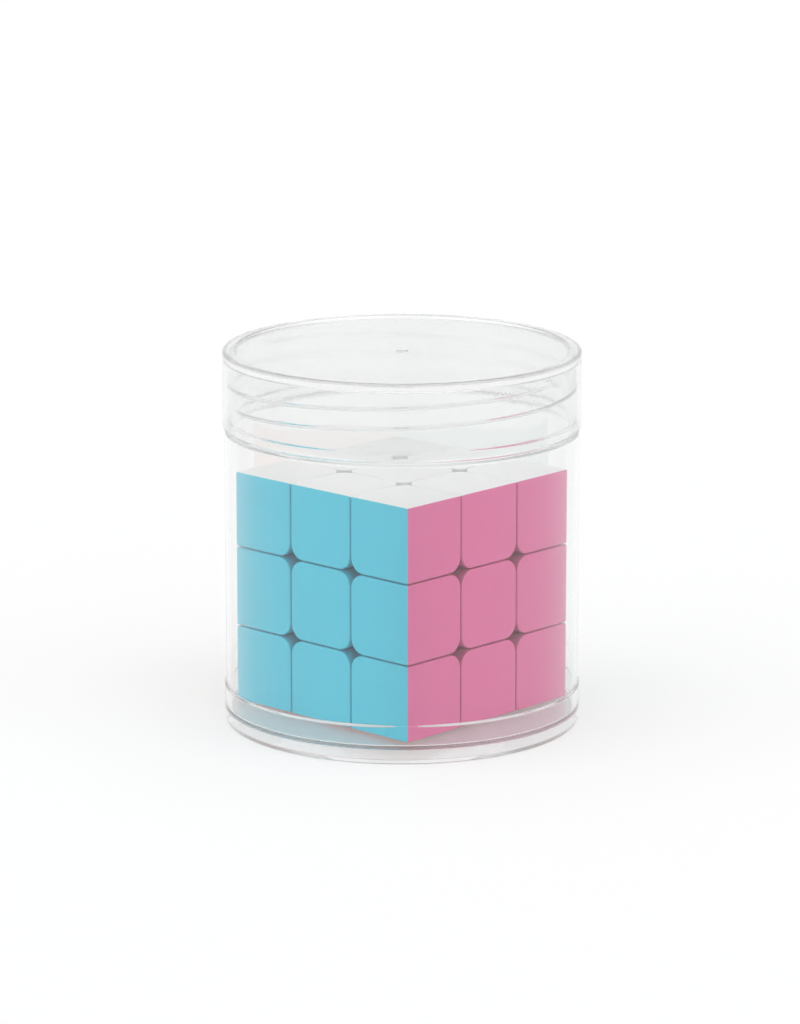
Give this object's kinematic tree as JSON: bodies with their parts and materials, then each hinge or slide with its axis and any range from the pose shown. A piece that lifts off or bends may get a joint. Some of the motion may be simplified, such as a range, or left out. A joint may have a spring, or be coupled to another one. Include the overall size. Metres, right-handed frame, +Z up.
{
  "type": "twisty puzzle cube in screw-lid jar",
  "caption": "Stickerless twisty cube puzzle with turning layers, standing in a clear round jar with a clear screw lid.",
  "frame": {"origin": "centre of the jar's foot, on the surface it stands on", "axes": "+Z up along the jar's axis; the cube's faces are square to X and Y, with its front face at -Y and its right face at +X"},
  "size_m": [0.085, 0.085, 0.0901],
  "materials": {
    "clear_plastic": "clear, polished",
    "white_shell": "satin gloss",
    "orange_shell": "satin gloss",
    "cyan_shell": "satin gloss",
    "pink_shell": "satin gloss",
    "green_shell": "satin gloss",
    "red_shell": "satin gloss",
    "inner_plastic": "moulded satin",
    "steel": "plated"
  },
  "bodies": {
    "jar_body": {"jar": "clear_plastic"},
    "lid": {"lid": "clear_plastic"},
    "middle_layer": {"core": "inner_plastic", "centre_screw_top": "steel", "centre_washer_top": "steel", "centre_spring_top": "steel", "centre_screw_bottom": "steel", "centre_washer_bottom": "steel", "centre_spring_bottom": "steel", "centre_body_front": "cyan_shell", "centre_cap_front": "cyan_shell", "centre_screw_front": "steel", "centre_washer_front": "steel", "centre_spring_front": "steel", "centre_body_right": "pink_shell", "centre_cap_right": "pink_shell", "centre_screw_right": "steel", "centre_washer_right": "steel", "centre_spring_right": "steel", "centre_body_back": "green_shell", "centre_cap_back": "green_shell", "centre_screw_back": "steel", "centre_washer_back": "steel", "centre_spring_back": "steel", "centre_body_left": "orange_shell", "centre_cap_left": "orange_shell", "centre_screw_left": "steel", "centre_washer_left": "steel", "centre_spring_left": "steel", "edge_front_left": "orange_shell", "edge_front_right": "pink_shell", "edge_back_left": "orange_shell", "edge_back_right": "pink_shell"},
    "top_layer": {"centre_body_top": "white_shell", "centre_cap_top": "white_shell", "corner_top_front_left": "white_shell", "corner_top_front_right": "white_shell", "corner_top_back_left": "white_shell", "corner_top_back_right": "white_shell", "edge_top_front": "white_shell", "edge_top_right": "white_shell", "edge_top_back": "white_shell", "edge_top_left": "white_shell"},
    "bottom_layer": {"centre_body_bottom": "red_shell", "centre_cap_bottom": "red_shell", "corner_bottom_front_left": "red_shell", "corner_bottom_front_right": "red_shell", "corner_bottom_back_left": "red_shell", "corner_bottom_back_right": "red_shell", "edge_bottom_front": "red_shell", "edge_bottom_right": "red_shell", "edge_bottom_back": "red_shell", "edge_bottom_left": "red_shell"}
  },
  "joints": [
    {"name": "lid_lift", "type": "slide", "parent": "jar_body", "child": "lid", "axis": [0, 0, 1], "range_m": [0, 0.08]},
    {"name": "puzzle_lift", "type": "slide", "parent": "jar_body", "child": "middle_layer", "axis": [0, 0, 1], "range_m": [0, 0.026]},
    {"name": "top_turn", "type": "hinge", "parent": "middle_layer", "child": "top_layer", "pos_m": [0, 0, 0.0325], "axis": [0, 0, 1], "continuous": true},
    {"name": "bottom_turn", "type": "hinge", "parent": "middle_layer", "child": "bottom_layer", "pos_m": [0, 0, 0.0325], "axis": [0, 0, -1], "continuous": true}
  ]
}
